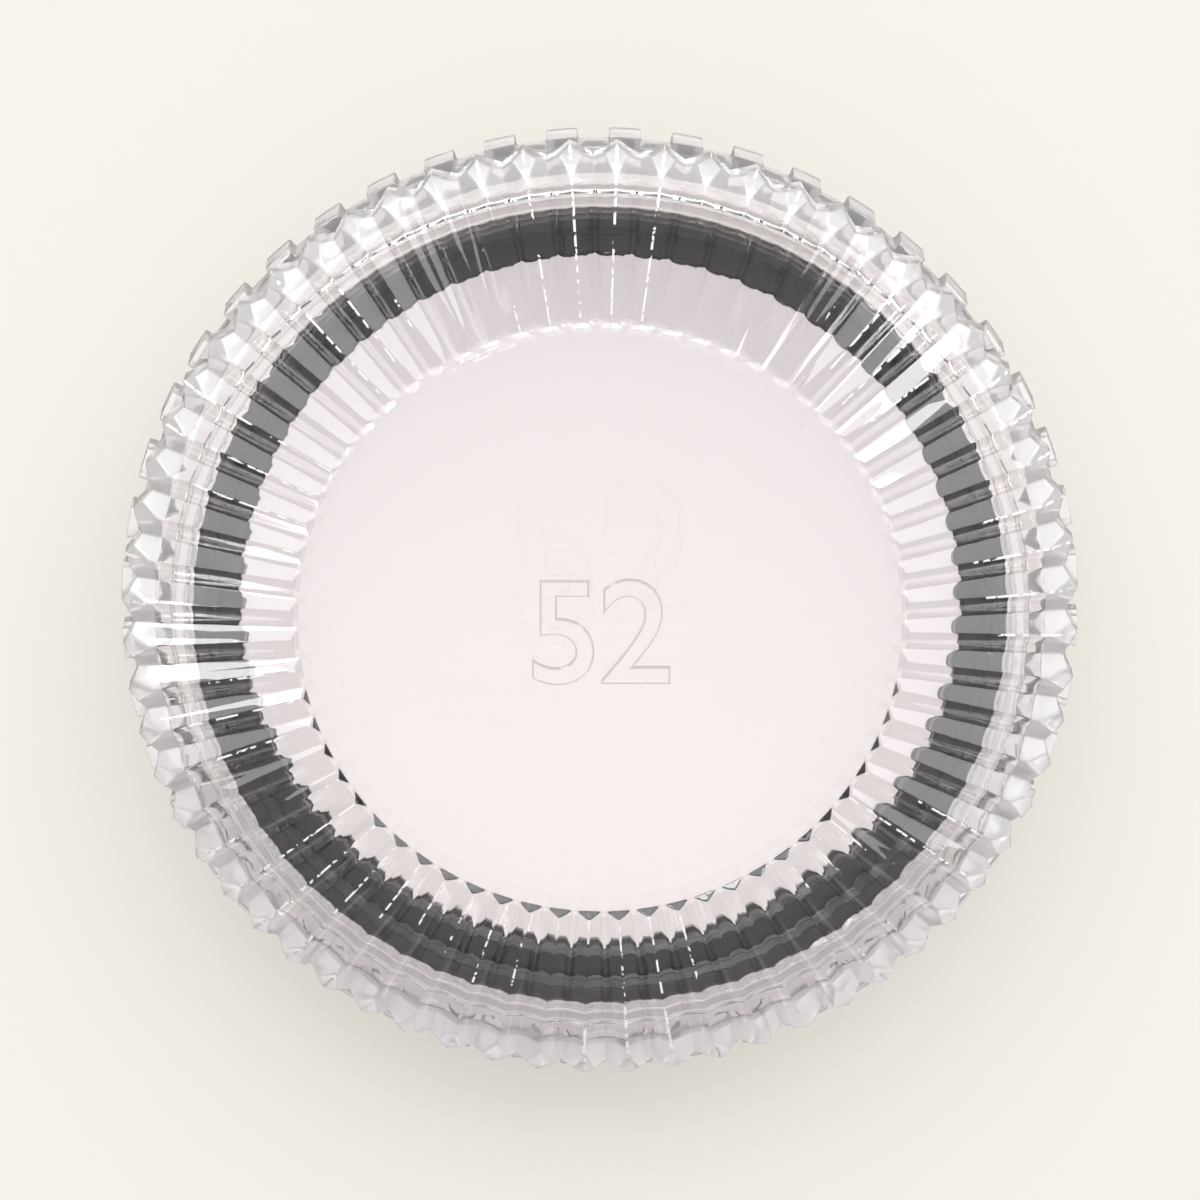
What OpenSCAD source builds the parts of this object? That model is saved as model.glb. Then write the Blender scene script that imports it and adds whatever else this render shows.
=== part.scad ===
// A screw-in round filter lying in its clear two-part case.
// Millimetres. The case lies flat, +Z points up along the filter's axis,
// and the origin is the middle of the flat underside.

/* [Filter] */
// Outer diameter of the filter's screw thread
thread_d = 52; // [49:0.5:55]
// How far the knurled rim stands out past the thread
rim_step = 1; // [0.6:0.1:1.4]
// Height of the knurled rim
rim_h = 5; // [4.6:0.1:6]
// Height of the thread below the rim
thread_h = 2.2; // [1.8:0.1:3]
// Thickness of the round glass
glass_t = 2; // [1.5:0.1:2.4]
// Height of the slotted ring that holds the glass down
retainer_h = 1; // [0.7:0.1:1.4]
// Radial width of that ring and of the lip under the glass
retainer_w = 1.6; // [1.2:0.1:2.2]
// Number of grooves in the knurl
knurl_count = 120; // [80:10:140]
// Depth of the knurl
knurl_depth = 0.25; // [0.15:0.05:0.4]

/* [Case] */
// Room between the filter's rim and the wall around it
pocket_gap = 0.35; // [0.25:0.05:0.8]
// Thickness of the inner standing wall
wall_t = 0.95; // [0.8:0.05:1.2]
// Radial clearance between the lid and that wall
lid_fit = 0.08; // [0.05:0.01:0.1]
// Thickness of the lid's skirt under its teeth
skirt_t = 2.55; // [2.2:0.05:3]
// Height of the lid's skirt
skirt_h = 2.2; // [1.9:0.1:2.8]
// Thickness of the floor
floor_t = 1.5; // [1.2:0.1:2]
// Radius of the flat face that the case stands on
foot_r = 29.4; // [27.5:0.1:29.8]
// Number of square ribs round the lower half
rib_count = 48; // [36:4:60]
// Angle by which the ribs are turned from +X
rib_turn = -2.97; // [-3.5:0.01:3.5]
// Depth of the square ribs
rib_depth = 0.68; // [0.5:0.02:0.9]
// Height of the square ribs
rib_h = 3.3; // [2.8:0.1:3.6]
// How far the ribs stand out past the lid's teeth
rib_stand = 0.1; // [0:0.05:0.3]

/* [Fluted lid] */
// Number of flutes
flute_count = 64; // [48:4:80]
// Angle by which the closed lid happens to sit turned from +X
lid_turn = -2.05; // [-3:0.05:3]
// Depth of the teeth round the skirt
tooth_depth = 0.88; // [0.7:0.02:1.1]
// Share of each tooth's width that its two sloping sides take
tooth_share = 0.76; // [0.6:0.02:0.9]
// Height of the teeth's top edge above the filter
edge_rise = 1.05; // [0.9:0.05:1.6]
// Radius of the flat window
window_r = 19.95; // [19:0.05:21]
// Thickness of the window
window_t = 1.2; // [1:0.05:1.5]
// Height of the window above the teeth's top edge
window_rise = 1.83; // [1.6:0.01:2.3]
// Height of the flutes' crests above the window, at its edge
crest_rise = 0.4; // [0.3:0.02:0.6]
// How far the crests lean back from the window's edge
crest_lean = 0.52; // [0.4:0.02:0.8]
// Radial run of the bevelled end of each crest
hip_run = 1.74; // [1.4:0.02:2.2]
// Height of that bevelled end
hip_rise = 1.45; // [1.2:0.05:1.7]

/* [Hidden] */
$fn = 128;

// Film of air between pieces that only lie on each other
air_film = 0.02;
thread_r = thread_d / 2;
rim_r = thread_r + rim_step;
// The front thread's bore, which is the thread less its own depth
bore_r = thread_r - 0.4;
aperture_r = bore_r - retainer_w;
rear_bore_r = bore_r - 0.9;
ring_fit = 0.05;
glass_fit = 0.25;
lip_t = 0.8;
rim_chamfer = 0.3;
slot_w = 1.4;
slot_depth = 0.6 * retainer_h;
slot_reach = 1;

filter_z = floor_t + air_film;
rim_z = filter_z + thread_h;
lip_z = rim_z + 0.6;
glass_z = lip_z + air_film;
retainer_z = glass_z + glass_t + air_film;
filter_top_z = rim_z + rim_h;
// The knurl lies a little below the plain bands at its two ends
knurl_r = rim_r - 0.06;
knurl_core_r = knurl_r - knurl_depth - 0.2;
knurl_z = rim_z + 0.8;
knurl_h = rim_h - 1.6;

pocket_r = rim_r + pocket_gap;
wall_r = pocket_r + wall_t;
skirt_r = wall_r + lid_fit;
valley_r = skirt_r + skirt_t;
tip_r = valley_r + tooth_depth;

edge_z = filter_top_z + edge_rise;
window_z = edge_z + window_rise;
skirt_z = edge_z - skirt_h;
base_top_z = skirt_z - air_film;
rib_z = base_top_z - rib_h;
wall_top_z = filter_top_z - 0.1;
rib_r = tip_r + rib_stand;
body_r = rib_r - rib_depth;
// The outer wall's inner face, and the floor of the channel between the walls
channel_r = wall_r + 1.15;
channel_z = floor_t + 2.4;
// Wall under the lid's flutes, measured below their grooves
shell_t = 1.4;

flute_step = 360 / flute_count;
groove_slope = window_rise / (valley_r - window_r);
crest_in_r = window_r + crest_lean;
crest_in_z = window_z + crest_rise;
crest_out_r = tip_r - hip_run;
crest_out_z = edge_z + hip_rise;
crest_slope = (crest_in_z - crest_out_z) / (crest_out_r - crest_in_r);
hip_slope = hip_rise / hip_run;
// The flutes' form runs on past the teeth, which trim it
form_r = tip_r + 1.5;
form_h = 3;

function polar(r, a, z) = [r * cos(a), r * sin(a), z];

// One zigzag tooth after another, with a flat valley between two
function tooth_outline() = [
    for (i = [0 : flute_count - 1], k = [0 : 2])
        let (a = (i + [-tooth_share / 2, 0, tooth_share / 2][k]) * flute_step,
             r = k == 1 ? tip_r : valley_r)
        [r * cos(a), r * sin(a)]
];

// Square ribs, each as wide as the gap beside it
function rib_outline() = [
    for (i = [0 : rib_count - 1], k = [0 : 3])
        let (a = (i + [0, 0, 0.5, 0.5][k] - 0.25) * 360 / rib_count,
             r = k == 0 || k == 3 ? body_r : rib_r)
        [r * cos(a), r * sin(a)]
];

function knurl_outline() = [
    for (i = [0 : knurl_count * 2 - 1])
        let (a = i * 180 / knurl_count, r = i % 2 == 0 ? knurl_r : knurl_r - knurl_depth)
        [r * cos(a), r * sin(a)]
];

// The top face of the lid: a flat window ringed by straight V flutes,
// whose crests and grooves run out and down past the teeth
module fluted_form() {
    n = flute_count;
    half = flute_step / 2;
    crest_in = [for (i = [0 : n - 1]) polar(crest_in_r, i * flute_step, crest_in_z)];
    crest_out = [for (i = [0 : n - 1])
        polar(form_r, i * flute_step, crest_out_z - crest_slope * (form_r - crest_out_r))];
    groove_in = [for (i = [0 : n - 1]) polar(window_r, i * flute_step + half, window_z)];
    groove_out = [for (i = [0 : n - 1])
        polar(form_r, i * flute_step + half, window_z - groove_slope * (form_r - window_r))];
    foot = [for (i = [0 : n - 1]) polar(form_r, i * flute_step, skirt_z - form_h)];
    window_face = [[for (i = [0 : n - 1]) 4 * n - 1 - i - n]];
    ring_faces = [for (i = [0 : n - 1])
        let (j = (i + 1) % n, h = (i + n - 1) % n,
             ci = i, co = n + i, gi = 2 * n + i, go = 3 * n + i,
             cj = j, coj = n + j, gh = 2 * n + h, f = 4 * n + i, fj = 4 * n + j)
        each [
            [ci, gi, gh],
            [ci, co, go], [ci, go, gi],
            [cj, go, coj], [cj, gi, go],
            [co, f, go], [go, f, fj], [go, fj, coj]
        ]];
    foot_face = [[for (i = [0 : n - 1]) 4 * n + i]];
    polyhedron(
        points = concat(crest_in, crest_out, groove_in, groove_out, foot),
        faces = concat(window_face, ring_faces, foot_face)
    );
}

// A cone that bevels the outer ends of the crests
module hip_cone() {
    rotate_extrude()
        polygon([
            [0, skirt_z],
            [tip_r + 1, skirt_z],
            [tip_r + 1, edge_z - hip_slope],
            [crest_out_r - 3, edge_z + hip_slope * (hip_run + 3)],
            [0, edge_z + hip_slope * (hip_run + 3)]
        ]);
}

// The hollow under the lid: a flat ceiling, a cone under the flutes and the skirt's bore
module lid_hollow() {
    ceiling_z = window_z - window_t;
    ceiling_r = window_r - 0.9;
    cone_z = window_z - groove_slope * (skirt_r - window_r) - shell_t;
    rotate_extrude()
        polygon([
            [0, skirt_z - 1],
            [skirt_r, skirt_z - 1],
            [skirt_r, cone_z],
            [ceiling_r, ceiling_z],
            [0, ceiling_z]
        ]);
}

module case_lid() {
    color([0.94, 0.93, 0.93, 0.4])
        difference() {
            rotate([0, 0, lid_turn])
                intersection() {
                    translate([0, 0, skirt_z])
                        linear_extrude(crest_in_z - skirt_z)
                            polygon(tooth_outline());
                    fluted_form();
                    hip_cone();
                }
            lid_hollow();
        }
}

module case_base() {
    color([0.94, 0.93, 0.93, 0.4])
        union() {
            rotate_extrude()
                polygon([
                    [0, 0],
                    [foot_r, 0],
                    [body_r, rib_z],
                    [body_r, base_top_z],
                    [channel_r, base_top_z],
                    [channel_r, channel_z],
                    [wall_r, channel_z],
                    [wall_r, wall_top_z],
                    [pocket_r, wall_top_z],
                    [pocket_r, floor_t],
                    [0, floor_t]
                ]);
            translate([0, 0, rib_z])
                rotate([0, 0, rib_turn])
                    linear_extrude(rib_h)
                        difference() {
                            polygon(rib_outline());
                            circle(r = body_r - 0.8);
                        }
        }
}

module filter_rim() {
    color([0.06, 0.06, 0.065])
        difference() {
            union() {
                translate([0, 0, filter_z])
                    cylinder(r = thread_r, h = thread_h + 0.5);
                rotate_extrude()
                    polygon([
                        [0, rim_z],
                        [rim_r - rim_chamfer, rim_z],
                        [rim_r, rim_z + rim_chamfer],
                        [rim_r, knurl_z],
                        [knurl_core_r, knurl_z],
                        [knurl_core_r, knurl_z + knurl_h],
                        [rim_r, knurl_z + knurl_h],
                        [rim_r, filter_top_z - rim_chamfer],
                        [rim_r - rim_chamfer, filter_top_z],
                        [0, filter_top_z]
                    ]);
                translate([0, 0, knurl_z])
                    linear_extrude(knurl_h)
                        polygon(knurl_outline());
            }
            translate([0, 0, filter_z - 1])
                cylinder(r = rear_bore_r, h = lip_z - lip_t - filter_z + 1);
            translate([0, 0, filter_z])
                cylinder(r = aperture_r, h = rim_h);
            translate([0, 0, lip_z])
                cylinder(r = bore_r, h = rim_h + 1);
        }
}

module filter_glass() {
    color([0.95, 0.96, 0.97, 0.35])
        translate([0, 0, glass_z])
            cylinder(r = bore_r - glass_fit, h = glass_t);
}

module retaining_ring() {
    color([0.06, 0.06, 0.065])
        translate([0, 0, retainer_z])
            difference() {
                cylinder(r = bore_r - ring_fit, h = retainer_h);
                translate([0, 0, -1])
                    cylinder(r = aperture_r, h = retainer_h + 2);
                for (side = [0, 180])
                    rotate([0, 0, side])
                        translate([aperture_r - slot_reach, -slot_w / 2, retainer_h - slot_depth])
                            cube([retainer_w + 2 * slot_reach, slot_w, slot_depth + 1]);
            }
}

case_base();
case_lid();
filter_rim();
filter_glass();
retaining_ring();
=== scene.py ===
import math

import bmesh
import bpy
from mathutils import Matrix, Vector


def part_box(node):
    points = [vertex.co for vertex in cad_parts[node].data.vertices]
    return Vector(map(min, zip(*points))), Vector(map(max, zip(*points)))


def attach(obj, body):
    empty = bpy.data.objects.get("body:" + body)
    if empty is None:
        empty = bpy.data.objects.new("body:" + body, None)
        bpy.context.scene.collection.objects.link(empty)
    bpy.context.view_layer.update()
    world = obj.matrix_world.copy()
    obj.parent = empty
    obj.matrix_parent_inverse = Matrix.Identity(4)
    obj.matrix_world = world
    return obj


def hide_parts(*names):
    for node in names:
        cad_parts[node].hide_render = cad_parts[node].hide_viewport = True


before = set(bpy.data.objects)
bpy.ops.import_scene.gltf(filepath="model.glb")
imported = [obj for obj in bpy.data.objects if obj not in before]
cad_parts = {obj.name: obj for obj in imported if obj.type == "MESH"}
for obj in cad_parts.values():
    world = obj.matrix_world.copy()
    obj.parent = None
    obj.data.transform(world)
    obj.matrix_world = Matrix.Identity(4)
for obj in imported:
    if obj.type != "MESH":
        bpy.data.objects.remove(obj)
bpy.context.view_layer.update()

mm = 0.001
weld = 0.0005  # mm: points nearer than this become one
close = 0.01  # mm: room for rounding when heights and radii are compared
smoothBelow = 25  # degrees: sharper folds stay crisp
scene = bpy.context.scene
print("stage: frame loaded")


def lowOf(node):  # height of a node's lowest point, in mm
    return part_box(node)[0][2] / mm


def highOf(node):
    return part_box(node)[1][2] / mm


def outerOf(node):  # outer radius of a round node, in mm
    return max(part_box(node)[1][0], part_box(node)[1][1]) / mm


# camera: the photograph's angle, and where the object's origin lands in its frame

cameraSetup = {
    "distance": 0.578,
    "tilt": 14.0,  # degrees away from straight above
    "pixelsPerMm": 14.80,
    "originRow": 579.8,
    "frameWidth": 1200,
    "sensorWidth": 36,
}


def makeCamera():
    c = cameraSetup
    tilt = math.radians(c["tilt"])
    data = bpy.data.cameras.new("photoCamera")
    data.sensor_width = c["sensorWidth"]
    data.lens = c["sensorWidth"] * c["distance"] / (c["frameWidth"] / c["pixelsPerMm"] * mm)
    camera = bpy.data.objects.new("photoCamera", data)
    scene.collection.objects.link(camera)
    rowOffset = (c["originRow"] - c["frameWidth"] / 2) / c["pixelsPerMm"] * mm
    target = Vector((0, rowOffset / math.cos(tilt), 0))
    camera.location = target + c["distance"] * Vector((0, math.sin(tilt), math.cos(tilt)))
    camera.rotation_euler = (-tilt, 0, 0)
    scene.camera = camera


makeCamera()
print("stage: camera")


# lathe work: a profile of (radius, height) points in mm, spun about the Z axis

def lathe(points, steps, closed=False):
    bm = bmesh.new()
    verts = [bm.verts.new((r, 0, z)) for r, z in points]
    pairs = list(zip(verts, verts[1:])) + ([(verts[-1], verts[0])] if closed else [])
    edges = [bm.edges.new(pair) for pair in pairs]
    bmesh.ops.spin(bm, geom=verts + edges, cent=(0, 0, 0), axis=(0, 0, 1), angle=2 * math.pi,
                   steps=steps, use_merge=True, use_duplicate=False)
    bmesh.ops.remove_doubles(bm, verts=bm.verts, dist=weld)
    bmesh.ops.recalc_face_normals(bm, faces=bm.faces)
    return bm


def radiusOf(co):
    return math.hypot(co.x, co.y)


def meridianOf(co, steps):  # which of the spin's steps a point lies on
    return round(math.atan2(co.y, co.x) / (2 * math.pi) * steps) % steps


def onRing(bm, radius, height, within=0.002):  # the points that one profile point became
    return [v for v in bm.verts
            if abs(radiusOf(v.co) - radius) < within and abs(v.co.z - height) < within]


def place(vert, radius, height):  # moves a point within its own meridian
    scale = radius / radiusOf(vert.co)
    vert.co = Vector((vert.co.x * scale, vert.co.y * scale, height))


def halfWay(first, second):
    return [(a + b) / 2 for a, b in zip(first, second)]


def sharpEdges(bm, degrees):
    limit = math.radians(degrees)
    return [e for e in bm.edges if e.is_manifold and e.calc_face_angle() > limit]


def roundEdges(bm, edges, width, segments=2):
    bmesh.ops.bevel(bm, geom=edges, offset=width, offset_type="OFFSET", segments=segments,
                    profile=0.5, affect="EDGES", material=-1, clamp_overlap=True)


def store(bm, name, body, nodes, material, turn=0.0):
    bmesh.ops.transform(bm, matrix=Matrix.Rotation(math.radians(turn), 4, "Z"), verts=bm.verts)
    bmesh.ops.scale(bm, vec=(mm, mm, mm), verts=bm.verts)
    mesh = bpy.data.meshes.new(name)
    bm.to_mesh(mesh)
    bm.free()
    mesh.shade_smooth()
    mesh.set_sharp_from_angle(angle=math.radians(smoothBelow))
    mesh.materials.append(material)
    piece = bpy.data.objects.new(name, mesh)
    scene.collection.objects.link(piece)
    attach(piece, body)
    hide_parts(*nodes)
    print("stage:", name, len(mesh.polygons), "faces")
    return piece


# shader helpers

def addNode(tree, kind, x, y, **settings):
    node = tree.nodes.new(kind)
    node.location = (x, y)
    for key, value in settings.items():
        setattr(node, key, value)
    return node


def setInputs(node, **values):
    for key, value in values.items():
        node.inputs[key].default_value = value
    return node


def maths(tree, operation, first, second, x, y, third=None):  # each value a socket or a number
    node = addNode(tree, "ShaderNodeMath", x, y, operation=operation)
    for index, value in enumerate((first, second, third)):
        if isinstance(value, (int, float)):
            node.inputs[index].default_value = value
        elif value is not None:
            tree.links.new(value, node.inputs[index])
    return node.outputs[0]


def mixColour(tree, factor, first, second, x, y):  # each colour a socket or three numbers
    node = addNode(tree, "ShaderNodeMix", x, y, data_type="RGBA")
    tree.links.new(factor, node.inputs["Factor"])
    for socket, colour in ((node.inputs["A"], first), (node.inputs["B"], second)):
        if isinstance(colour, tuple):
            socket.default_value = (*colour, 1)
        else:
            tree.links.new(colour, socket)
    return node.outputs["Result"]


def mixValue(tree, factor, low, high, x, y):
    node = addNode(tree, "ShaderNodeMapRange", x, y)
    tree.links.new(factor, node.inputs["Value"])
    setInputs(node, **{"To Min": low, "To Max": high})
    return node.outputs["Result"]


def mixShaders(tree, factor, first, second, x, y):
    node = addNode(tree, "ShaderNodeMixShader", x, y)
    tree.links.new(factor, node.inputs[0])
    tree.links.new(first.outputs[0], node.inputs[1])
    tree.links.new(second.outputs[0], node.inputs[2])
    return node


def addNoise(tree, coords, scale, detail, x, y):
    node = addNode(tree, "ShaderNodeTexNoise", x, y)
    setInputs(node, Scale=scale, Detail=detail)
    tree.links.new(coords, node.inputs["Vector"])
    return node.outputs["Fac"]


def addBump(tree, height, strength, distance, x, y):
    node = addNode(tree, "ShaderNodeBump", x, y)
    setInputs(node, Strength=strength, Distance=distance)
    tree.links.new(height, node.inputs["Height"])
    return node.outputs["Normal"]


def reachAndHeight(tree, coords, x, y):  # distance from the case's axis, and height
    split = addNode(tree, "ShaderNodeSeparateXYZ", x, y)
    tree.links.new(coords, split.inputs["Vector"])
    level = addNode(tree, "ShaderNodeCombineXYZ", x + 180, y)
    tree.links.new(split.outputs["X"], level.inputs["X"])
    tree.links.new(split.outputs["Y"], level.inputs["Y"])
    reach = addNode(tree, "ShaderNodeVectorMath", x + 360, y, operation="LENGTH")
    tree.links.new(level.outputs["Vector"], reach.inputs[0])
    return reach.outputs["Value"], split.outputs["Z"]


def newGroup(name, inputs):  # a group that turns coordinates into one mask, 0 to 1
    tree = bpy.data.node_groups.new(name, "ShaderNodeTree")
    for label, value in inputs:
        socket = tree.interface.new_socket(label, in_out="INPUT", socket_type="NodeSocketFloat")
        socket.default_value = value
    tree.interface.new_socket("Vector", in_out="INPUT", socket_type="NodeSocketVector")
    tree.interface.new_socket("Mask", in_out="OUTPUT", socket_type="NodeSocketFloat")
    return tree, addNode(tree, "NodeGroupInput", -1000, 0), addNode(tree, "NodeGroupOutput", 900, 0)


scratchLook = {
    "angles": (0.35, 1.9),  # radians
    "stretch": (40, 2200, 1),
    "start": 0.86,  # less the density asked for
    "full": 0.9,
}


def makeScratchGroup():  # hair scratches that run in two directions
    s = scratchLook
    tree, source, sink = newGroup("hairScratches", [("Density", 0.5), ("Scale", 1.0)])
    masks = []
    for index, angle in enumerate(s["angles"]):
        y = 300 - 320 * index
        turned = addNode(tree, "ShaderNodeMapping", -760, y)
        setInputs(turned, Rotation=(0, 0, angle), Scale=s["stretch"])
        tree.links.new(source.outputs["Vector"], turned.inputs["Vector"])
        noise = addNode(tree, "ShaderNodeTexNoise", -520, y)
        setInputs(noise, Detail=0.0)
        tree.links.new(turned.outputs["Vector"], noise.inputs["Vector"])
        tree.links.new(source.outputs["Scale"], noise.inputs["Scale"])
        start = maths(tree, "SUBTRACT", s["start"], source.outputs["Density"], -320, y)
        step = addNode(tree, "ShaderNodeMapRange", -120, y)
        tree.links.new(noise.outputs["Fac"], step.inputs["Value"])
        tree.links.new(start, step.inputs["From Min"])
        setInputs(step, **{"From Max": s["full"]})
        masks.append(step.outputs["Result"])
    tree.links.new(maths(tree, "MAXIMUM", *masks, 280, 0), sink.inputs["Mask"])
    return tree


def makeDustGroup():  # a few small round specks
    tree, source, sink = newGroup("dustSpecks", [("Scale", 400.0), ("Size", 0.12), ("Share", 0.2)])
    cells = addNode(tree, "ShaderNodeTexVoronoi", -700, 100)
    tree.links.new(source.outputs["Vector"], cells.inputs["Vector"])
    tree.links.new(source.outputs["Scale"], cells.inputs["Scale"])
    split = addNode(tree, "ShaderNodeSeparateColor", -460, -60)
    tree.links.new(cells.outputs["Color"], split.inputs["Color"])
    near = maths(tree, "LESS_THAN", cells.outputs["Distance"], source.outputs["Size"], -460, 160)
    chosen = maths(tree, "LESS_THAN", split.outputs["Red"], source.outputs["Share"], -220, -60)
    tree.links.new(maths(tree, "MULTIPLY", near, chosen, 40, 80), sink.inputs["Mask"])
    return tree


scratchGroup = makeScratchGroup()
dustGroup = makeDustGroup()


def useGroup(tree, group, vector, x, y, **values):
    node = addNode(tree, "ShaderNodeGroup", x, y, node_tree=group)
    tree.links.new(vector, node.inputs["Vector"])
    return setInputs(node, **values).outputs["Mask"]


def newMaterial(name):
    material = bpy.data.materials.new(name)
    material.use_nodes = True
    tree = material.node_tree
    tree.nodes.clear()
    shader = addNode(tree, "ShaderNodeBsdfPrincipled", 300, 0)
    output = addNode(tree, "ShaderNodeOutputMaterial", 800, 0)
    coords = addNode(tree, "ShaderNodeTexCoord", -1300, 0)
    return material, tree, shader, output, coords.outputs["Object"]


def letLampsThrough(tree, shader, output, tint):  # clear stuff throws only a faint shadow
    path = addNode(tree, "ShaderNodeLightPath", 300, 420)
    clear = addNode(tree, "ShaderNodeBsdfTransparent", 300, 200)
    setInputs(clear, Color=(*tint, 1))
    mix = mixShaders(tree, path.outputs["Is Shadow Ray"], shader, clear, 600, 100)
    tree.links.new(mix.outputs[0], output.inputs["Surface"])


clearPlastic = {  # lengths in metres
    "tint": (0.985, 0.972, 0.975),
    "ior": 1.55,
    "roughness": 0.0,
    "scratchRoughness": 0.22,
    "scratchDensity": 0.16,
    "footRoughness": 0.55,
    "footFrom": 0.026,  # only the outer ring of the underside is matt
    "footBelow": 0.00005,
    "wallMiddle": 0.0284,
    "wallHalfWidth": 0.0012,
    "wallAbove": 0.0016,
    "wallShadeTint": (0.80, 0.81, 0.80),
    "wallRoughness": 0.12,
    "fluteMiddle": 0.0248,
    "fluteHalfWidth": 0.0045,
    "fluteShadeTint": (0.835, 0.82, 0.822),
    "hazeFrom": 0.0295,  # the teeth and ribs, outward of this radius
    "hazeShare": 0.3,
    "outlineShadeTint": (0.5, 0.49, 0.5),
    "shadowTint": (0.985, 0.98, 0.98),
    "waveScale": 90.0,
    "waveStrength": 0.05,
    "waveDepth": 0.0004,
}


# white on some crests: partly scuff wear, partly painted glints
crestScuffAndGlint = {
    "edge": 0.87,
    "breaks": ((1700.0, 2.0, 0.5), (120.0, 0.0, 0.5)),  # noise scale, detail and the level kept
    "colour": (0.92, 0.9, 0.9),
    "roughness": 0.4,
}


def addScuffGlintsAndHaze(tree, coords, clear, normal, haze):  # ragged white on some crests, partly scuff wear and partly painted glints, and haze
    w = crestScuffAndGlint
    crest = addNode(tree, "ShaderNodeAttribute", -900, -1100, attribute_name="crest")
    scuffAndGlint = maths(tree, "GREATER_THAN", crest.outputs["Fac"], w["edge"], -650, -1100)
    for index, (scale, detail, level) in enumerate(w["breaks"]):
        y = -1300 - 250 * index
        noise = addNoise(tree, coords, scale, detail, -900, y)
        kept = maths(tree, "GREATER_THAN", noise, level, -650, y)
        scuffAndGlint = maths(tree, "MULTIPLY", scuffAndGlint, kept, -400 + 150 * index, -1200)
    white = addNode(tree, "ShaderNodeBsdfPrincipled", 300, -900)
    setInputs(white, **{"Base Color": (*w["colour"], 1), "Roughness": w["roughness"]})
    tree.links.new(normal, white.inputs["Normal"])
    return mixShaders(tree, maths(tree, "MAXIMUM", scuffAndGlint, haze, 300, -500), clear, white, 600, -400)


def makeClearPlastic(name, isLid):
    c = clearPlastic
    material, tree, shader, output, coords = newMaterial(name)
    setInputs(shader, **{"IOR": c["ior"], "Transmission Weight": 1.0})
    reach, height = reachAndHeight(tree, coords, -1500, 600)
    scratches = useGroup(tree, scratchGroup, coords, -900, 200,
                         Density=c["scratchDensity"], Scale=1.0)
    rough = mixValue(tree, scratches, c["roughness"], c["scratchRoughness"], -500, 200)
    if isLid:  # painted shade: the flutes are tinted a little greyer than the flat window
        band = maths(tree, "COMPARE", reach, c["fluteMiddle"], -900, 700, c["fluteHalfWidth"])
        bandShadeTint = c["fluteShadeTint"]
    else:  # painted shade: the standing wall is tinted greyer; and the underside is matt
        onWall = maths(tree, "COMPARE", reach, c["wallMiddle"], -900, 700, c["wallHalfWidth"])
        above = maths(tree, "GREATER_THAN", height, c["wallAbove"], -900, 850)
        band = maths(tree, "MULTIPLY", onWall, above, -700, 750)
        bandShadeTint = c["wallShadeTint"]
        under = maths(tree, "LESS_THAN", height, c["footBelow"], -900, 1000)
        outside = maths(tree, "GREATER_THAN", reach, c["footFrom"], -900, 1150)
        foot = maths(tree, "MULTIPLY", under, outside, -750, 1050)
        footMatt = maths(tree, "MULTIPLY", foot, c["footRoughness"], -600, 1000)
        wallMatt = maths(tree, "MULTIPLY", band, c["wallRoughness"], -500, 850)
        matt = maths(tree, "MAXIMUM", footMatt, wallMatt, -350, 900)
        rough = maths(tree, "MAXIMUM", rough, matt, -50, 300)
    tree.links.new(rough, shader.inputs["Roughness"])
    tint = mixColour(tree, band, c["tint"], bandShadeTint, -100, 1000)
    # painted shade: the figures' slanted sides are tinted dark grey
    sides = addNode(tree, "ShaderNodeAttribute", -100, 1250, attribute_name="outlineShade")
    shadedOutline = mixColour(tree, sides.outputs["Fac"], tint, c["outlineShadeTint"], 100, 1100)
    tree.links.new(shadedOutline, shader.inputs["Base Color"])
    waves = addNoise(tree, coords, c["waveScale"], 0.0, -900, -800)
    normal = addBump(tree, waves, c["waveStrength"], c["waveDepth"], -100, -700)
    tree.links.new(normal, shader.inputs["Normal"])
    outer = maths(tree, "GREATER_THAN", reach, c["hazeFrom"], -900, 500)
    haze = maths(tree, "MULTIPLY", outer, c["hazeShare"], -200, -900)
    surface = addScuffGlintsAndHaze(tree, coords, shader, normal, haze)
    letLampsThrough(tree, surface, output, c["shadowTint"])
    return material


anodised = {  # lengths in metres
    "colour": (0.011, 0.011, 0.012),
    "dustWearAndGlintColour": (0.62, 0.55, 0.42),
    "bareAndGlintFrom": 0.75,
    "ior": 1.5,
    "roughness": (0.26, 0.42),
    "grainScale": 1500.0,
    "grainDetail": 3.0,
    "dust": {"Scale": 700.0, "Size": 0.1, "Share": 0.1},
    "turningScale": 5200.0,
    "turningDetail": 2.0,
    "turningStrength": 0.25,
    "turningDepth": 0.00003,
}


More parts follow.
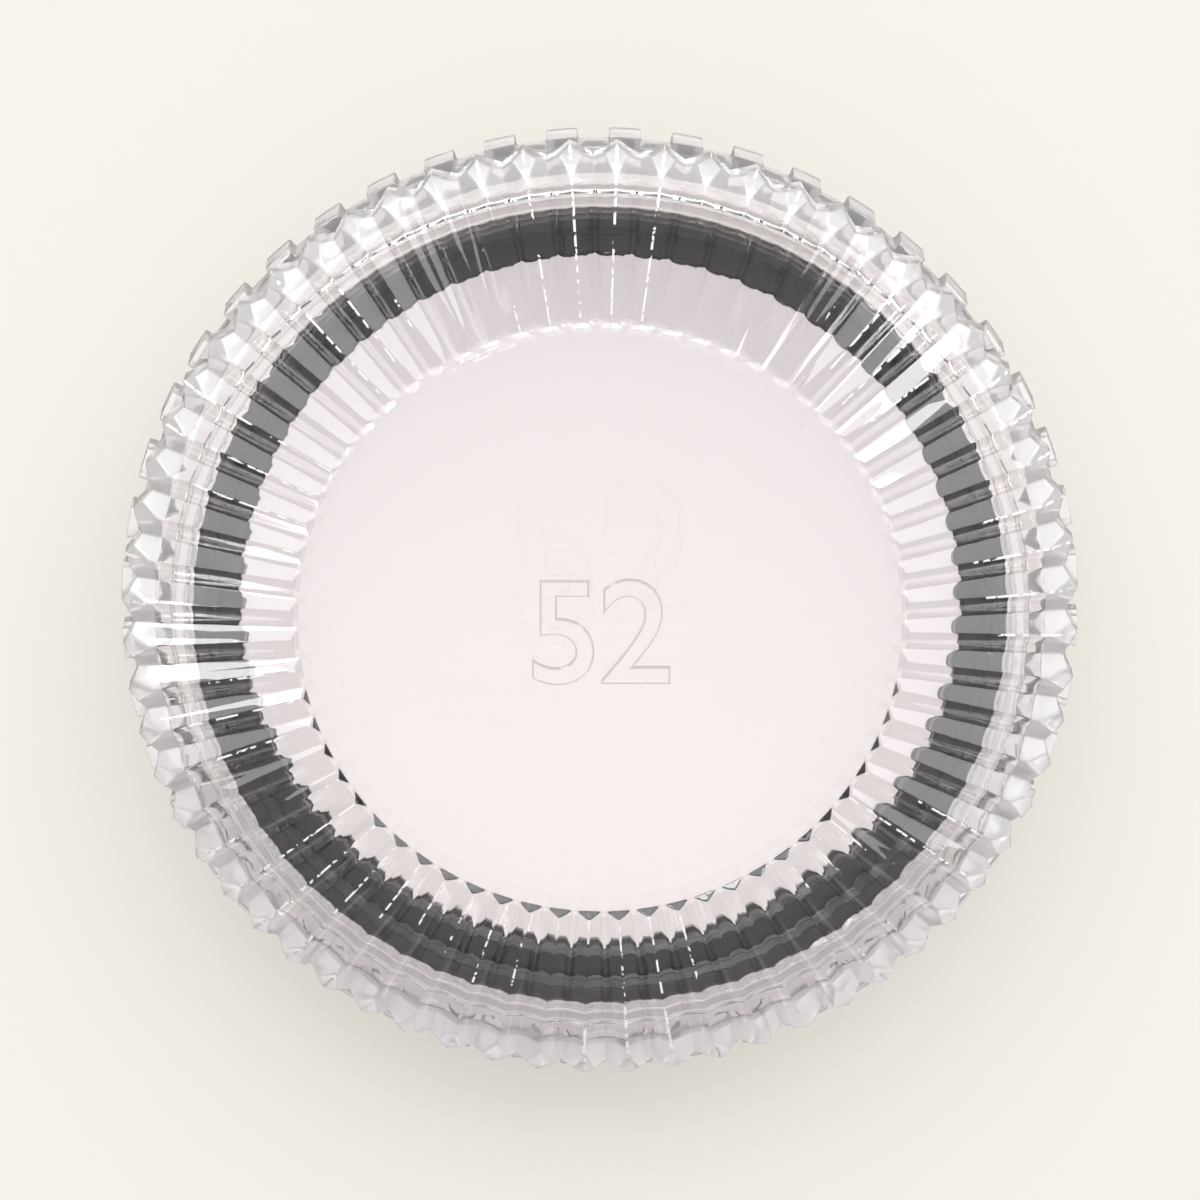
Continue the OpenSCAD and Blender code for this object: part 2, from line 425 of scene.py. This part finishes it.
def makeAnodised(name):
    a = anodised
    material, tree, shader, output, coords = newMaterial(name)
    setInputs(shader, **{"Metallic": 0.0, "IOR": a["ior"]})
    grain = addNoise(tree, coords, a["grainScale"], a["grainDetail"], -900, 0)
    rough = mixValue(tree, grain, *a["roughness"], -600, 0)
    tree.links.new(rough, shader.inputs["Roughness"])
    dust = useGroup(tree, dustGroup, coords, -900, 300, **a["dust"])
    # the knurl's top peaks: bare-metal wear with painted glints, in a golden colour
    glint = addNode(tree, "ShaderNodeAttribute", -900, 520, attribute_name="bareMetalAndGlint")
    bareAndGlint = maths(tree, "GREATER_THAN", glint.outputs["Fac"], a["bareAndGlintFrom"], -650, 520)
    light = maths(tree, "MAXIMUM", dust, bareAndGlint, -420, 420)
    colour = mixColour(tree, light, a["colour"], a["dustWearAndGlintColour"], -200, 200)
    tree.links.new(colour, shader.inputs["Base Color"])
    reach = reachAndHeight(tree, coords, -900, -300)[0]
    lines = addNode(tree, "ShaderNodeTexNoise", -320, -300, noise_dimensions="1D")  # turning lines
    setInputs(lines, Scale=a["turningScale"], Detail=a["turningDetail"])
    tree.links.new(reach, lines.inputs["W"])
    normal = addBump(tree, lines.outputs["Fac"], a["turningStrength"], a["turningDepth"], -80, -300)
    tree.links.new(normal, shader.inputs["Normal"])
    tree.links.new(shader.outputs[0], output.inputs["Surface"])
    return material


coatedGlass = {
    "tint": (0.985, 0.99, 0.985),
    "ior": 1.52,
    "dust": {"Scale": 300.0, "Size": 0.06, "Share": 0.15},
    "dustRoughness": 0.7,
    "shadowTint": (0.96, 0.96, 0.96),
}


def makeCoatedGlass(name):
    g = coatedGlass
    material, tree, shader, output, coords = newMaterial(name)
    setInputs(shader, **{"Base Color": (*g["tint"], 1), "IOR": g["ior"],
                         "Transmission Weight": 1.0})
    dust = useGroup(tree, dustGroup, coords, -900, 0, **g["dust"])
    rough = mixValue(tree, dust, 0.0, g["dustRoughness"], -400, 0)
    tree.links.new(rough, shader.inputs["Roughness"])
    letLampsThrough(tree, shader, output, g["shadowTint"])
    return material


lidPlastic = makeClearPlastic("clearLidPlastic", True)
basePlastic = makeClearPlastic("clearBasePlastic", False)
blackRim = makeAnodised("blackAnodisedRim")
blackRing = makeAnodised("blackAnodisedRing")
filterGlass = makeCoatedGlass("coatedFilterGlass")
print("stage: materials")


# the fluted lid: a lathe blank whose grooves and teeth are then pushed into place

lid = {
    "flutes": 64,
    "turn": -2.05,
    "windowRadius": 19.95,
    "windowThickness": 1.2,
    "windowRise": 1.83,
    "crestRise": 0.4,
    "crestLean": 0.52,
    "hipRun": 1.74,
    "hipRise": 1.45,
    "hipSide": (0.5, 0.53),  # how far in from the tips, and height over the teeth's top edge
    "toothDepth": 0.88,
    "skirtHeight": 2.2,
    "skirtRadius": 28.38,
    "wallBelowGrooves": 1.4,
    "ceilingInset": 0.9,  # how far the flat ceiling ends inside the window's edge
    "flatKept": 0.15,  # narrow rings beside a fold keep the shading of the faces flat
    "crestRound": 0.13,
    "edgeRound": 0.05,
    "edgeMargin": 0.1,  # edges this far under the teeth's top edge belong to the skirt
}


def makeLid():
    d = lid
    perFlute = 4
    steps = d["flutes"] * perFlute
    tip = outerOf("case_lid")
    bottom = lowOf("case_lid")
    edge = bottom + d["skirtHeight"]
    window = edge + d["windowRise"]
    crestIn = (d["windowRadius"] + d["crestLean"], window + d["crestRise"])
    crestOut = (tip - d["hipRun"], edge + d["hipRise"])
    valley = tip - d["toothDepth"]
    grooveSlope = d["windowRise"] / (valley - d["windowRadius"])

    def grooveHeight(radius):
        return window - grooveSlope * (radius - d["windowRadius"])

    skirt = d["skirtRadius"]
    cone = grooveHeight(skirt) - d["wallBelowGrooves"]
    ceiling = window - d["windowThickness"]
    flat = d["flatKept"]
    ceilingRadius = d["windowRadius"] - d["ceilingInset"]
    coneSlope = (ceiling - cone) / (skirt - ceilingRadius)
    bm = lathe([
        (0, window), (d["windowRadius"] - 2 * flat, window), (d["windowRadius"], window),
        crestIn, crestOut, (tip, edge), (tip, bottom),
        (skirt, bottom), (skirt, cone), (skirt - flat, cone + coneSlope * flat),
        (ceilingRadius + flat, ceiling - coneSlope * flat), (ceilingRadius, ceiling),
        (ceilingRadius - flat, ceiling), (0, ceiling),
    ], steps)

    grooveIn = (d["windowRadius"], window)
    grooveOut = (crestOut[0], grooveHeight(crestOut[0]))
    hipSide = (tip - d["hipSide"][0], edge + d["hipSide"][1])
    moves = [  # ring, its place beside the crest, its place in the groove, whether its crest takes the white scuffs and painted glints
        (crestIn, halfWay(crestIn, grooveIn), grooveIn, True),
        (crestOut, halfWay(crestOut, grooveOut), grooveOut, True),
        ((tip, edge), hipSide, (valley, edge), True),
        ((tip, bottom), (hipSide[0], bottom), (valley, bottom), False),
    ]
    crestLayer = bm.verts.layers.float.new("crest")
    rings = [onRing(bm, *move[0]) for move in moves]
    for verts, (_, beside, groove, takesScuffAndGlint) in zip(rings, moves):
        for vert in verts:
            step = meridianOf(vert.co, steps) % perFlute
            if step == perFlute // 2:
                place(vert, *groove)
            elif step:
                place(vert, *beside)
            elif takesScuffAndGlint:
                vert[crestLayer] = 1.0
    crestEnds = {v for v in rings[1] if v[crestLayer] > 0.5}
    hipSides = {v for v in rings[2] if v[crestLayer] < 0.5}
    for face in list(bm.faces):  # the bevelled end of each crest is cut out of its neighbours
        ends = [v for v in face.verts if v in crestEnds]
        sides = [v for v in face.verts if v in hipSides]
        for a in ends:
            for b in sides:
                if len(face.verts) == 4 and bm.edges.get((a, b)) is None:
                    bmesh.utils.face_split(face, a, b)
    bmesh.ops.remove_doubles(bm, verts=bm.verts, dist=weld)
    bmesh.ops.recalc_face_normals(bm, faces=bm.faces)
    ridges = [e for e in sharpEdges(bm, degrees=12)
              if all(v.co.z > edge - close for v in e.verts)]
    roundEdges(bm, ridges, d["crestRound"], segments=3)
    roundEdges(bm, [e for e in sharpEdges(bm, degrees=40)
                    if max(v.co.z for v in e.verts) < edge - d["edgeMargin"]], d["edgeRound"])
    piece = store(bm, "flutedLid", "lid", ["case_lid"], lidPlastic, turn=d["turn"])
    raiseNumber(piece, window)


number = {
    "text": "52",
    "height": 6.9,
    "fontShare": 0.69,  # a figure's height as a share of the font's size
    "rise": 0.24,
    "sunk": 0.3,
    "spread": 0.95,
    "middle": -1.1,  # along Y
    "bevel": 0.13,
    "curveSteps": 6,
    "weld": 0.001,
    "reach": 15.0,  # no figure lies farther out than this
    "sideBelow": 0.9,  # the upward part of a slanted side's normal stays under this
}


def raiseNumber(piece, window):  # the filter's size in raised figures, joined to the window
    n = number
    curve = bpy.data.curves.new("figures", "FONT")
    curve.body = n["text"]
    curve.align_x, curve.align_y = "CENTER", "CENTER"
    curve.size = n["height"] / n["fontShare"]
    curve.space_character = n["spread"]
    curve.resolution_u = n["curveSteps"]
    curve.extrude = (n["rise"] + n["sunk"]) / 2 - n["bevel"]
    curve.bevel_depth = n["bevel"]
    curve.bevel_resolution = 0
    text = bpy.data.objects.new("figures", curve)
    scene.collection.objects.link(text)
    text.location = (0, n["middle"], window + (n["rise"] - n["sunk"]) / 2)
    bpy.context.view_layer.update()
    mesh = bpy.data.meshes.new_from_object(text)
    mesh.transform(Matrix.Scale(mm, 4) @ text.matrix_world)
    bpy.data.objects.remove(text)
    bm = bmesh.new()
    bm.from_mesh(mesh)
    bmesh.ops.remove_doubles(bm, verts=bm.verts, dist=n["weld"] * mm)
    bmesh.ops.recalc_face_normals(bm, faces=bm.faces)
    bm.to_mesh(mesh)
    bm.free()
    tool = bpy.data.objects.new("figureSolid", mesh)
    scene.collection.objects.link(tool)
    union = piece.modifiers.new("figures", "BOOLEAN")
    union.operation, union.solver, union.object = "UNION", "EXACT", tool
    bpy.context.view_layer.update()
    evaluated = piece.evaluated_get(bpy.context.evaluated_depsgraph_get())
    joined = bpy.data.meshes.new_from_object(evaluated)
    piece.modifiers.clear()
    piece.data = joined
    joined.set_sharp_from_angle(angle=math.radians(smoothBelow))
    outlineShade = joined.attributes.new("outlineShade", "FLOAT", "FACE")  # the figures' slanted sides, tinted dark grey as painted shade
    for face in joined.polygons:
        raised = (face.center.z > (window + close) * mm
                  and face.center.xy.length < n["reach"] * mm)
        slanted = face.normal.z < n["sideBelow"]
        outlineShade.data[face.index].value = 1.0 if raised and slanted else 0.0
    bpy.data.objects.remove(tool)


makeLid()


# the lower half: a lathe blank with square ribs drawn out of its side

base = {
    "ribs": 48,
    "ribShare": 0.5,  # a rib's width as a share of the pitch
    "turn": -2.97,
    "footRadius": 29.4,
    "ribDepth": 0.68,
    "ribHeight": 3.3,
    "floor": 1.5,
    "pocketRadius": 27.35,
    "wallRadius": 28.3,
    "channelWidth": 1.15,
    "channelFloor": 3.9,
    "lidGap": 0.02,
    "wallRound": 0.32,
    "edgeRound": 0.1,
    "sideMargin": 0.05,  # room for a face's middle lying inside the round side
}


def makeBase():
    d = base
    perRib = 8
    steps = d["ribs"] * perRib
    outer = outerOf("case_base")
    body = outer - d["ribDepth"]
    wallTop = highOf("case_base")
    rimTop = lowOf("case_lid") - d["lidGap"]
    ribBottom = rimTop - d["ribHeight"]
    channel = d["wallRadius"] + d["channelWidth"]
    bm = lathe([
        (0, 0), (d["footRadius"], 0), (body, ribBottom),
        (body, rimTop), (channel, rimTop), (channel, d["channelFloor"]),
        (d["wallRadius"], d["channelFloor"]), (d["wallRadius"], wallTop),
        (d["pocketRadius"], wallTop), (d["pocketRadius"], d["floor"]), (0, d["floor"]),
    ], steps)
    ribs = []
    for face in bm.faces:
        middle = face.calc_center_median()
        onSide = radiusOf(middle) > body - d["sideMargin"] and ribBottom < middle.z < rimTop
        step = math.atan2(middle.y, middle.x) / (2 * math.pi) * d["ribs"]
        if onSide and abs(step - round(step)) < d["ribShare"] / 2:
            ribs.append(face)
    drawn = bmesh.ops.extrude_face_region(bm, geom=ribs)["geom"]
    for vert in [v for v in drawn if isinstance(v, bmesh.types.BMVert)]:
        place(vert, outer, vert.co.z)
    bmesh.ops.delete(bm, geom=[f for f in ribs if f.is_valid], context="FACES")
    bmesh.ops.recalc_face_normals(bm, faces=bm.faces)
    wallEdges = [e for e in sharpEdges(bm, degrees=12)
                 if all(v.co.z > wallTop - close for v in e.verts)]
    roundEdges(bm, wallEdges, d["wallRound"], segments=4)
    roundEdges(bm, sharpEdges(bm, degrees=30), d["edgeRound"])
    store(bm, "ribbedBase", "case", ["case_base"], basePlastic, turn=d["turn"])


makeBase()


# the filter: knurled rim with both threads, slotted ring and glass

rim = {
    "knurls": 120,
    "threadRadius": 26.0,
    "boreRadius": 25.6,
    "rearBoreRadius": 24.7,
    "apertureRadius": 24.0,
    "threadHeight": 2.2,
    "threadPitch": 0.75,
    "threadDepth": 0.36,
    "threadCrest": (0.42, 0.58),  # where the crest begins and ends, as shares of the pitch
    "threadLead": 0.05,  # plain lengths before and after the rear thread
    "threadEnd": 0.1,
    "frontRunOut": 0.15,
    "rearChamfer": 0.45,
    "lipRise": 0.6,
    "lipThickness": 0.8,
    "knurlMargin": 0.8,
    "knurlDepth": 0.25,
    "knurlStep": 0.06,
    "knurlSlant": 0.02,
    "chamfer": 0.3,
    "mouthChamfer": 0.1,
    "edgeRound": 0.05,
}


def threadPoints(crest, root, low, high):  # V rings from low to high
    pitch = rim["threadPitch"]
    start, end = rim["threadCrest"]
    count = int((high - low) / pitch)
    points = []
    for i in range(count):
        z = low + i * pitch
        points += [(root, z), (crest, z + pitch * start), (crest, z + pitch * end)]
    return points + [(root, low + count * pitch)]


def makeRim():
    d = rim
    bottom, top = lowOf("filter_rim"), highOf("filter_rim")
    outer = outerOf("filter_rim")
    shoulder = bottom + d["threadHeight"]
    lip = shoulder + d["lipRise"]
    knurlLow = shoulder + d["knurlMargin"]
    knurlHigh = top - d["knurlMargin"]
    knurl = outer - d["knurlStep"]
    rearRoot = d["threadRadius"] - d["threadDepth"]
    frontRoot = d["boreRadius"] + d["threadDepth"]
    frontLow = top - d["chamfer"] - 2 * d["threadPitch"]
    rear = threadPoints(d["threadRadius"], rearRoot,
                        bottom + d["threadLead"], shoulder - d["threadEnd"])
    front = threadPoints(d["boreRadius"], frontRoot, frontLow, top - d["chamfer"])
    profile = (
        [(d["rearBoreRadius"], bottom), (d["threadRadius"] - d["rearChamfer"], bottom)] + rear
        + [(rearRoot, shoulder), (outer - d["chamfer"], shoulder),
           (outer, shoulder + d["chamfer"]), (outer, knurlLow - d["knurlSlant"]),
           (knurl, knurlLow), (knurl, knurlHigh), (outer, knurlHigh + d["knurlSlant"]),
           (outer, top - d["chamfer"]), (outer - d["chamfer"], top),
           (frontRoot + d["mouthChamfer"], top)]
        + front[::-1]
        + [(d["boreRadius"], frontLow - d["frontRunOut"]), (d["boreRadius"], lip),
           (d["apertureRadius"], lip), (d["apertureRadius"], lip - d["lipThickness"]),
           (d["rearBoreRadius"], lip - d["lipThickness"])]
    )
    steps = d["knurls"] * 2
    bm = lathe(profile, steps, closed=True)
    # the top knurl peaks carry bare-metal wear and painted glints
    bareMetalAndGlint = bm.verts.layers.float.new("bareMetalAndGlint")
    for vert in onRing(bm, knurl, knurlLow) + onRing(bm, knurl, knurlHigh):
        if meridianOf(vert.co, steps) % 2:
            place(vert, knurl - d["knurlDepth"], vert.co.z)
        elif vert.co.z > knurlHigh - close:
            vert[bareMetalAndGlint] = 1.0
    rounded = [e for e in sharpEdges(bm, degrees=40)
               if all(radiusOf(v.co) > knurl + close or v.co.z > top - close for v in e.verts)]
    roundEdges(bm, rounded, d["edgeRound"])
    store(bm, "knurledRim", "case", ["filter_rim"], blackRim)


makeRim()


glass = {"edgeRound": 0.15, "steps": 192}


def makeGlass():
    low, high = lowOf("filter_glass"), highOf("filter_glass")
    outer = outerOf("filter_glass")
    bm = lathe([(0, low), (outer, low), (outer, high), (0, high)], glass["steps"])
    roundEdges(bm, sharpEdges(bm, degrees=40), glass["edgeRound"])
    store(bm, "roundGlass", "case", ["filter_glass"], filterGlass)


makeGlass()


retainer = {
    "chamfer": 0.25,
    "slotWidth": 1.4,
    "slotDepth": 0.6,
    "slotWall": 0.02,
    "slotKept": 0.1,  # share of the chamfer's height that is left in the slot's floor
    "steps": 240,
}


def makeRetainer():
    d = retainer
    low, high = lowOf("retaining_ring"), highOf("retaining_ring")
    outer = outerOf("retaining_ring")
    inner = rim["apertureRadius"]
    bm = lathe([(inner, low), (outer, low), (outer, high), (inner + d["chamfer"], high),
                (inner, high - d["chamfer"])], d["steps"], closed=True)
    half = d["slotWidth"] / 2
    for offset in (half, half - d["slotWall"], d["slotWall"] - half, -half):
        bmesh.ops.bisect_plane(bm, geom=bm.verts[:] + bm.edges[:] + bm.faces[:], dist=0.0001,
                               plane_co=(0, offset, 0), plane_no=(0, 1, 0))
    for vert in bm.verts:
        inSlot = abs(vert.co.y) < half - d["slotWall"] / 2
        if inSlot and vert.co.z > high - d["chamfer"] - close:
            vert.co.z = high - d["slotDepth"] - (high - vert.co.z) * d["slotKept"]
    bmesh.ops.recalc_face_normals(bm, faces=bm.faces)
    store(bm, "slottedRing", "case", ["retaining_ring"], blackRing)


makeRetainer()


# stage and light

floorSetup = {
    "size": 4.0,
    "drop": 0.00005,
    "colour": (0.38, 0.366, 0.336),
    "seen": (0.52, 0.50, 0.46),  # added where the camera sees the paper directly
    "seenThrough": (0.85, 0.79, 0.80),  # and where it sees it through the clear case
}


def makeFloor():
    f = floorSetup
    bm = bmesh.new()
    bmesh.ops.create_grid(bm, x_segments=1, y_segments=1, size=f["size"] / 2)
    bmesh.ops.translate(bm, vec=(0, 0, -f["drop"]), verts=bm.verts)
    mesh = bpy.data.meshes.new("paleFloor")
    bm.to_mesh(mesh)
    bm.free()
    material, tree, shader, output = newMaterial("palePaper")[:4]
    setInputs(shader, **{"Base Color": (*f["colour"], 1), "Roughness": 1.0,
                         "Specular IOR Level": 0.0, "Emission Strength": 1.0})
    path = addNode(tree, "ShaderNodeLightPath", -700, -200)
    glow = addNode(tree, "ShaderNodeVectorMath", -100, -200, operation="ADD")
    rays = (("Is Camera Ray", f["seen"]), ("Is Transmission Ray", f["seenThrough"]))
    for index, (ray, colour) in enumerate(rays):
        part = addNode(tree, "ShaderNodeVectorMath", -400, -100 - 200 * index, operation="SCALE")
        part.inputs[0].default_value = colour
        tree.links.new(path.outputs[ray], part.inputs["Scale"])
        tree.links.new(part.outputs["Vector"], glow.inputs[index])
    tree.links.new(glow.outputs["Vector"], shader.inputs["Emission Color"])
    tree.links.new(shader.outputs[0], output.inputs["Surface"])
    mesh.materials.append(material)
    floor = bpy.data.objects.new("paleFloor", mesh)
    scene.collection.objects.link(floor)


# azimuth 0 is beyond the picture's top edge, turning clockwise; spread and rise are half angles
lamps = {
    "softbox": {"azimuth": 6, "elevation": 38, "spread": 46, "rise": 22, "level": 4.1},
    "stripLamp": {"azimuth": -31, "elevation": 37, "spread": 4.5, "rise": 20, "level": 11.0,
                  "onPaper": False},
}


def makeLamp(name, azimuth, elevation, spread, rise, level, onPaper=True, distance=2.6):
    data = bpy.data.lights.new(name, "AREA")
    data.shape = "RECTANGLE"
    data.size = 2 * distance * math.tan(math.radians(spread))
    data.size_y = 2 * distance * math.tan(math.radians(rise))
    data.energy = level * math.pi * data.size * data.size_y
    lamp = bpy.data.objects.new(name, data)
    scene.collection.objects.link(lamp)
    a, e = math.radians(azimuth), math.radians(elevation)
    way = Vector((math.sin(a) * math.cos(e), math.cos(a) * math.cos(e), math.sin(e)))
    lamp.location = way * distance
    lamp.rotation_euler = way.to_track_quat("Z", "Y").to_euler()
    lamp.visible_diffuse = onPaper


studio = {
    "colour": (1.0, 0.985, 0.97),
    "overhead": 0.27,
    "horizon": 0.7,
    "horizonBand": (0.30, 0.12),  # upward part of the direction where the horizon's light fades in
    "horizonAhead": 1.4,  # added toward the picture's top and bottom
    "aheadBand": (0.45, 0.85),
    "throughPlastic": 0.75,  # the pale room seen through plastic
}


def makeWorld():
    s = studio
    world = bpy.data.worlds.new("studio")
    scene.world = world
    world.use_nodes = True
    tree = world.node_tree
    background = tree.nodes["Background"]
    setInputs(background, Color=(*s["colour"], 1))
    coords = addNode(tree, "ShaderNodeTexCoord", -1300, 0)
    split = addNode(tree, "ShaderNodeSeparateXYZ", -1100, 0)
    tree.links.new(coords.outputs["Generated"], split.inputs["Vector"])
    ahead = maths(tree, "ABSOLUTE", split.outputs["Y"], None, -900, 120)
    share = mixValue(tree, ahead, s["horizon"], s["horizon"] + s["horizonAhead"], -700, 120)
    low = mixValue(tree, split.outputs["Z"], 0.0, 1.0, -700, -160)
    for socket, band in ((share, s["aheadBand"]), (low, s["horizonBand"])):
        setInputs(socket.node, **{"From Min": band[0], "From Max": band[1]})
    glow = maths(tree, "MULTIPLY_ADD", share, low, -450, 0, s["overhead"])
    path = addNode(tree, "ShaderNodeLightPath", -450, -300)
    pale = maths(tree, "MULTIPLY_ADD", path.outputs["Is Transmission Ray"], s["throughPlastic"],
                 -220, 0, glow)
    tree.links.new(pale, background.inputs["Strength"])


makeFloor()
makeWorld()
for name, values in lamps.items():
    makeLamp(name, **values)
scene.cycles.max_bounces = 12
scene.cycles.transmission_bounces = 12
scene.cycles.transparent_max_bounces = 16
scene.cycles.diffuse_bounces = 0
scene.cycles.caustics_refractive = False
scene.cycles.caustics_reflective = False
scene.view_settings.view_transform = "Standard"
print("stage: floor and light")
